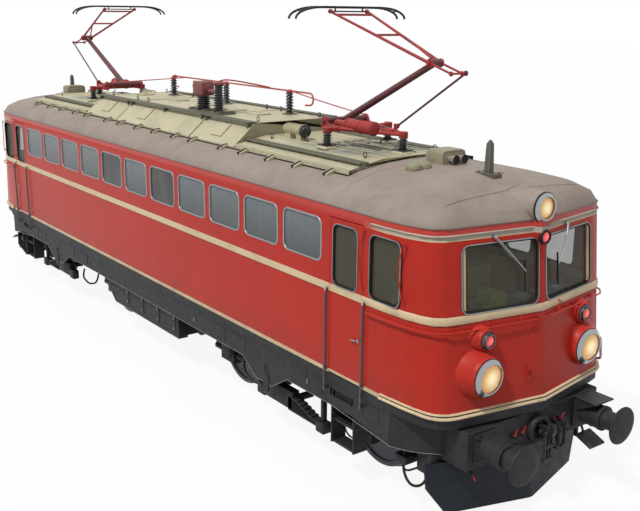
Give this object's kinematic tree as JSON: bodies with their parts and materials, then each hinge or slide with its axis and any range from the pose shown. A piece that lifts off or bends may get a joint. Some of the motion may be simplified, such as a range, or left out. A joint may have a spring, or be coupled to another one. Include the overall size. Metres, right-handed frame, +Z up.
{
  "type": "electric locomotive",
  "caption": "Electric locomotive on two bogies, with a cab at each end and a raised single-arm pantograph over each bogie.",
  "frame": {"origin": "centre of the base, at the lowest point of the wheel flanges", "axes": "+X towards the front cab, +Y to its left side, +Z up"},
  "size_m": [16.22, 3.2328, 5.9487],
  "materials": {
    "body_paint": "glossy red enamel with cream lining",
    "roof_paint": "weathered warm grey",
    "hatch_paint": "weathered cream",
    "frame_paint": "dusty charcoal",
    "transformer_paint": "plain grey",
    "busbar_paint": "matt red",
    "breaker_metal": "dull cast metal",
    "cab_paint": "soft green",
    "coupling_steel": "greasy dark steel",
    "window_glass": "clear",
    "wheel_steel": "rolled tread, dusty sides",
    "pantograph_paint": "matt red"
  },
  "bodies": {
    "root": {"underframe": "frame_paint", "skirt_left": "frame_paint", "skirt_right": "frame_paint", "roof": "roof_paint", "hatch_front": "hatch_paint", "hatch_middle_front": "hatch_paint", "hatch_middle": "hatch_paint", "hatch_middle_rear": "hatch_paint", "hatch_rear": "hatch_paint", "side_wall_left": "body_paint", "side_wall_right": "body_paint", "equipment_case": "frame_paint", "air_reservoir": "frame_paint", "transformer": "transformer_paint", "roof_busbar": "busbar_paint", "circuit_breaker": "breaker_metal", "cab_shell_front": "body_paint", "cab_interior_front": "cab_paint", "headstock_front": "frame_paint", "coupling_front": "coupling_steel", "pantograph_base_front": "pantograph_paint", "buffer_front_right": "frame_paint", "windscreen_front_right": "window_glass", "cab_window_front_right": "window_glass", "buffer_front_left": "frame_paint", "windscreen_front_left": "window_glass", "cab_window_front_left": "window_glass", "cab_shell_rear": "body_paint", "cab_interior_rear": "cab_paint", "headstock_rear": "frame_paint", "coupling_rear": "coupling_steel", "pantograph_base_rear": "pantograph_paint", "buffer_rear_right": "frame_paint", "windscreen_rear_right": "window_glass", "cab_window_rear_right": "window_glass", "buffer_rear_left": "frame_paint", "windscreen_rear_left": "window_glass", "cab_window_rear_left": "window_glass"},
    "door_front_right": {"door_front_right": "body_paint", "door_window_front_right": "window_glass"},
    "door_front_left": {"door_front_left": "body_paint", "door_window_front_left": "window_glass"},
    "bogie_front": {"bogie_frame_front": "frame_paint"},
    "wheelset_front_outer": {"wheelset_front_outer": "wheel_steel"},
    "wheelset_front_inner": {"wheelset_front_inner": "wheel_steel"},
    "pantograph_lower_arm_front": {"pantograph_lower_arm_front": "pantograph_paint"},
    "pantograph_upper_arm_front": {"pantograph_upper_arm_front": "pantograph_paint"},
    "pantograph_head_front": {"pantograph_head_front": "pantograph_paint"},
    "pantograph_rod_front": {"pantograph_rod_front": "pantograph_paint"},
    "door_rear_right": {"door_rear_right": "body_paint", "door_window_rear_right": "window_glass"},
    "door_rear_left": {"door_rear_left": "body_paint", "door_window_rear_left": "window_glass"},
    "bogie_rear": {"bogie_frame_rear": "frame_paint"},
    "wheelset_rear_outer": {"wheelset_rear_outer": "wheel_steel"},
    "wheelset_rear_inner": {"wheelset_rear_inner": "wheel_steel"},
    "pantograph_lower_arm_rear": {"pantograph_lower_arm_rear": "pantograph_paint"},
    "pantograph_upper_arm_rear": {"pantograph_upper_arm_rear": "pantograph_paint"},
    "pantograph_head_rear": {"pantograph_head_rear": "pantograph_paint"},
    "pantograph_rod_rear": {"pantograph_rod_rear": "pantograph_paint"}
  },
  "joints": [
    {"name": "door_front_right_hinge", "type": "hinge", "parent": "root", "child": "door_front_right", "pos_m": [5.432, -1.52, 1.458], "axis": [0, 0, 1], "range_deg": [0, 85]},
    {"name": "door_front_left_hinge", "type": "hinge", "parent": "root", "child": "door_front_left", "pos_m": [5.432, 1.52, 1.458], "axis": [0, 0, -1], "range_deg": [0, 85]},
    {"name": "bogie_front_pivot", "type": "hinge", "parent": "root", "child": "bogie_front", "pos_m": [3.9, 0, 1.338], "axis": [0, 0, 1], "range_deg": [-4, 4]},
    {"name": "wheelset_front_outer_spin", "type": "hinge", "parent": "bogie_front", "child": "wheelset_front_outer", "pos_m": [5.6, 0, 0.653], "axis": [0, 1, 0], "continuous": true},
    {"name": "wheelset_front_inner_spin", "type": "hinge", "parent": "bogie_front", "child": "wheelset_front_inner", "pos_m": [2.2, 0, 0.653], "axis": [0, 1, 0], "continuous": true},
    {"name": "pantograph_lower_arm_front_pivot", "type": "hinge", "parent": "root", "child": "pantograph_lower_arm_front", "pos_m": [3.7, 0, 4.388], "axis": [0, -1, 0], "range_deg": [-23, 16]},
    {"name": "pantograph_upper_arm_front_pivot", "type": "hinge", "parent": "pantograph_lower_arm_front", "child": "pantograph_upper_arm_front", "pos_m": [5.49682, 0, 5.26631], "axis": [0, -1, 0], "range_deg": [-28.5, 41]},
    {"name": "pantograph_head_front_pivot", "type": "hinge", "parent": "pantograph_upper_arm_front", "child": "pantograph_head_front", "pos_m": [3.73839, 0, 5.87866], "axis": [0, -1, 0], "range_deg": [-18, 12.5]},
    {"name": "pantograph_rod_front_pivot", "type": "hinge", "parent": "root", "child": "pantograph_rod_front", "pos_m": [4.643, 0, 4.38], "axis": [0, -1, 0], "range_deg": [-28.5, 20]},
    {"name": "door_rear_right_hinge", "type": "hinge", "parent": "root", "child": "door_rear_right", "pos_m": [-5.432, 1.52, 1.458], "axis": [0, 0, 1], "range_deg": [0, 85]},
    {"name": "door_rear_left_hinge", "type": "hinge", "parent": "root", "child": "door_rear_left", "pos_m": [-5.432, -1.52, 1.458], "axis": [0, 0, -1], "range_deg": [0, 85]},
    {"name": "bogie_rear_pivot", "type": "hinge", "parent": "root", "child": "bogie_rear", "pos_m": [-3.9, 0, 1.338], "axis": [0, 0, 1], "range_deg": [-4, 4]},
    {"name": "wheelset_rear_outer_spin", "type": "hinge", "parent": "bogie_rear", "child": "wheelset_rear_outer", "pos_m": [-5.6, 0, 0.653], "axis": [0, 1, 0], "continuous": true},
    {"name": "wheelset_rear_inner_spin", "type": "hinge", "parent": "bogie_rear", "child": "wheelset_rear_inner", "pos_m": [-2.2, 0, 0.653], "axis": [0, 1, 0], "continuous": true},
    {"name": "pantograph_lower_arm_rear_pivot", "type": "hinge", "parent": "root", "child": "pantograph_lower_arm_rear", "pos_m": [-3.7, 0, 4.388], "axis": [0, 1, 0], "range_deg": [-23, 16]},
    {"name": "pantograph_upper_arm_rear_pivot", "type": "hinge", "parent": "pantograph_lower_arm_rear", "child": "pantograph_upper_arm_rear", "pos_m": [-5.49682, 0, 5.26631], "axis": [0, 1, 0], "range_deg": [-28.5, 41]},
    {"name": "pantograph_head_rear_pivot", "type": "hinge", "parent": "pantograph_upper_arm_rear", "child": "pantograph_head_rear", "pos_m": [-3.73839, 0, 5.87866], "axis": [0, 1, 0], "range_deg": [-18, 12.5]},
    {"name": "pantograph_rod_rear_pivot", "type": "hinge", "parent": "root", "child": "pantograph_rod_rear", "pos_m": [-4.643, 0, 4.38], "axis": [0, 1, 0], "range_deg": [-28.5, 20]}
  ],
  "couplings": [
    {"joint": "pantograph_upper_arm_front_pivot", "follows": "pantograph_lower_arm_front_pivot", "ratio": -1.763},
    {"joint": "pantograph_head_front_pivot", "follows": "pantograph_lower_arm_front_pivot", "ratio": 0.763},
    {"joint": "pantograph_rod_front_pivot", "follows": "pantograph_lower_arm_front_pivot", "ratio": 1.217},
    {"joint": "pantograph_upper_arm_rear_pivot", "follows": "pantograph_lower_arm_rear_pivot", "ratio": -1.763},
    {"joint": "pantograph_head_rear_pivot", "follows": "pantograph_lower_arm_rear_pivot", "ratio": 0.763},
    {"joint": "pantograph_rod_rear_pivot", "follows": "pantograph_lower_arm_rear_pivot", "ratio": 1.217}
  ]
}
